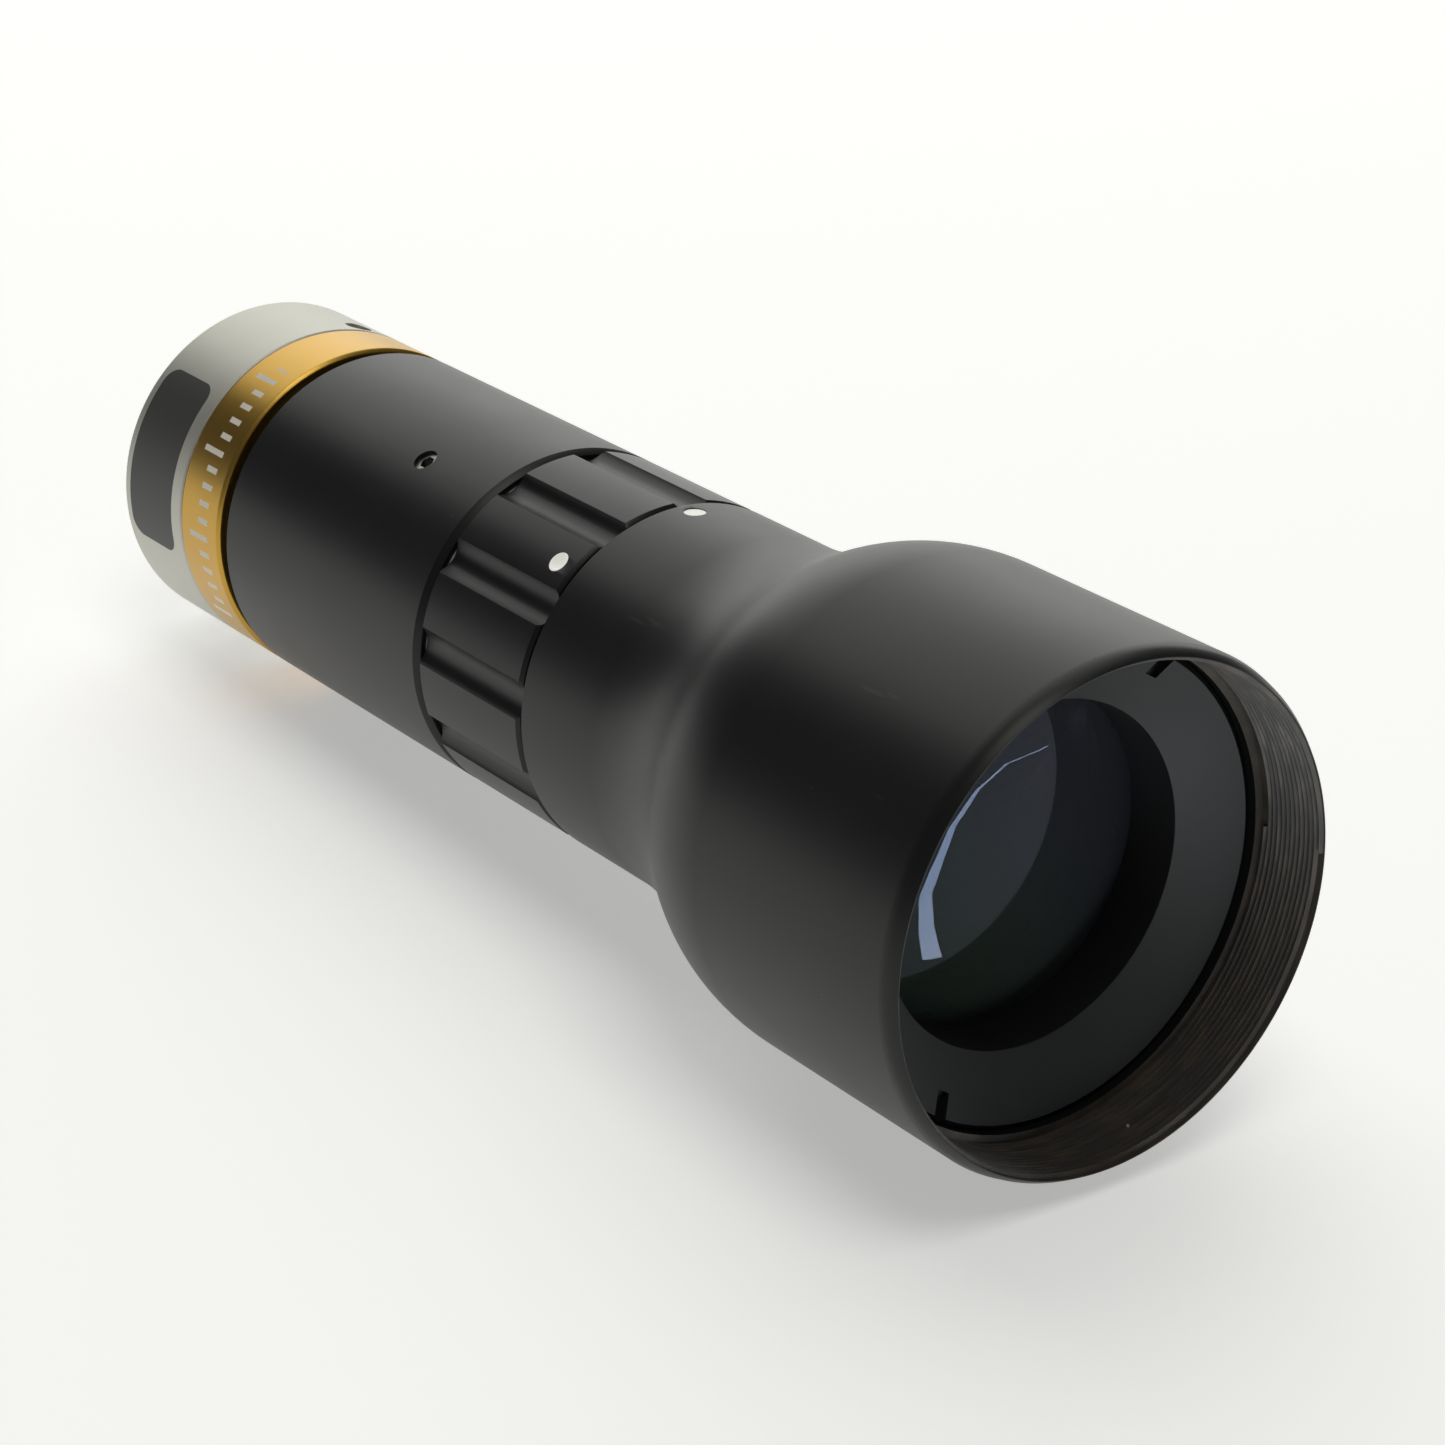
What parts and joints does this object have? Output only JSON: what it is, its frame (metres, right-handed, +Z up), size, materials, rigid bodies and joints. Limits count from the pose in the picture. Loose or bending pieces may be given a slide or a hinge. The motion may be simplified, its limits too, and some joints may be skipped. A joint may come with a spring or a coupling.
{
  "type": "telecentric lens",
  "caption": "Machine vision lens: flared black barrel with a fluted iris ring, gold accent ring, silver camera-end ring, screw-thread camera mount and filter thread.",
  "frame": {"origin": "centre of the flange face that rests on the camera, on the optical axis", "axes": "+Y along the optical axis towards the camera, so the lens looks towards -Y; +Z up"},
  "size_m": [0.042, 0.1273, 0.042],
  "materials": {
    "black_anodised": "fine satin black anodised",
    "black_anodised_ring": "satin black anodised, crisp machined flutes",
    "black_anodised_inner": "dull black anodised",
    "silver_satin": "bead-blasted satin, clear anodised",
    "gold_anodised": "satin gold anodised",
    "coated_glass": "polished, anti-reflection coated",
    "optical_glass": "polished",
    "white_paint": "matt paint fill",
    "screw_steel": "blackened steel",
    "blade_steel": "dull blackened spring steel",
    "slippery_plastic": "plain, slippery"
  },
  "bodies": {
    "camera_mount": {"camera_adapter": "silver_satin"},
    "barrel": {"mount_ring": "silver_satin", "mount_lock_screws": "screw_steel", "accent_ring": "gold_anodised", "rear_barrel": "black_anodised", "barrel_set_screws": "screw_steel", "core_tube": "black_anodised_inner", "friction_ring": "slippery_plastic", "iris_base_plate": "black_anodised_inner", "iris_clamp_ring": "black_anodised_inner", "light_baffle": "black_anodised_inner", "front_barrel": "black_anodised", "barrel_mark": "white_paint", "front_clamp_ring": "black_anodised_inner", "front_lens": "coated_glass", "front_spacer": "black_anodised_inner", "front_doublet_crown": "optical_glass", "front_doublet_flint": "optical_glass", "rear_doublet_crown": "optical_glass", "rear_doublet_flint": "optical_glass", "rear_singlet": "coated_glass", "rear_spacer": "black_anodised_inner", "rear_clamp_ring": "black_anodised_inner"},
    "iris_ring": {"iris_ring": "black_anodised_ring", "iris_ring_mark": "white_paint", "iris_drive_screw": "screw_steel", "iris_cam_ring": "black_anodised_inner"},
    "iris_blade_1": {"iris_blade_1": "blade_steel"},
    "iris_blade_2": {"iris_blade_2": "blade_steel"},
    "iris_blade_3": {"iris_blade_3": "blade_steel"},
    "iris_blade_4": {"iris_blade_4": "blade_steel"},
    "iris_blade_5": {"iris_blade_5": "blade_steel"},
    "iris_blade_6": {"iris_blade_6": "blade_steel"},
    "iris_blade_7": {"iris_blade_7": "blade_steel"},
    "iris_blade_8": {"iris_blade_8": "blade_steel"}
  },
  "joints": [
    {"name": "barrel_turn", "type": "hinge", "parent": "camera_mount", "child": "barrel", "pos_m": [0, 0, 0], "axis": [0, -1, 0], "continuous": true},
    {"name": "iris_turn", "type": "hinge", "parent": "barrel", "child": "iris_ring", "pos_m": [0, -0.06035, 0], "axis": [0, -1, 0], "range_deg": [-41, 39]},
    {"name": "iris_blade_1_swing", "type": "hinge", "parent": "barrel", "child": "iris_blade_1", "pos_m": [0.0099, -0.05642, 0], "axis": [0, -1, 0], "range_deg": [-15.88, 15.12]},
    {"name": "iris_blade_2_swing", "type": "hinge", "parent": "barrel", "child": "iris_blade_2", "pos_m": [0.007, -0.05642, 0.007], "axis": [0, -1, 0], "range_deg": [-15.88, 15.12]},
    {"name": "iris_blade_3_swing", "type": "hinge", "parent": "barrel", "child": "iris_blade_3", "pos_m": [0, -0.05642, 0.0099], "axis": [0, -1, 0], "range_deg": [-15.88, 15.12]},
    {"name": "iris_blade_4_swing", "type": "hinge", "parent": "barrel", "child": "iris_blade_4", "pos_m": [-0.007, -0.05642, 0.007], "axis": [0, -1, 0], "range_deg": [-15.88, 15.12]},
    {"name": "iris_blade_5_swing", "type": "hinge", "parent": "barrel", "child": "iris_blade_5", "pos_m": [-0.0099, -0.05642, 0], "axis": [0, -1, 0], "range_deg": [-15.88, 15.12]},
    {"name": "iris_blade_6_swing", "type": "hinge", "parent": "barrel", "child": "iris_blade_6", "pos_m": [-0.007, -0.05642, -0.007], "axis": [0, -1, 0], "range_deg": [-15.88, 15.12]},
    {"name": "iris_blade_7_swing", "type": "hinge", "parent": "barrel", "child": "iris_blade_7", "pos_m": [0, -0.05642, -0.0099], "axis": [0, -1, 0], "range_deg": [-15.88, 15.12]},
    {"name": "iris_blade_8_swing", "type": "hinge", "parent": "barrel", "child": "iris_blade_8", "pos_m": [0.007, -0.05642, -0.007], "axis": [0, -1, 0], "range_deg": [-15.88, 15.12]}
  ],
  "couplings": [
    {"joint": "iris_blade_1_swing", "follows": "iris_turn", "ratio": 0.375},
    {"joint": "iris_blade_2_swing", "follows": "iris_turn", "ratio": 0.375},
    {"joint": "iris_blade_3_swing", "follows": "iris_turn", "ratio": 0.375},
    {"joint": "iris_blade_4_swing", "follows": "iris_turn", "ratio": 0.375},
    {"joint": "iris_blade_5_swing", "follows": "iris_turn", "ratio": 0.375},
    {"joint": "iris_blade_6_swing", "follows": "iris_turn", "ratio": 0.375},
    {"joint": "iris_blade_7_swing", "follows": "iris_turn", "ratio": 0.375},
    {"joint": "iris_blade_8_swing", "follows": "iris_turn", "ratio": 0.375}
  ]
}
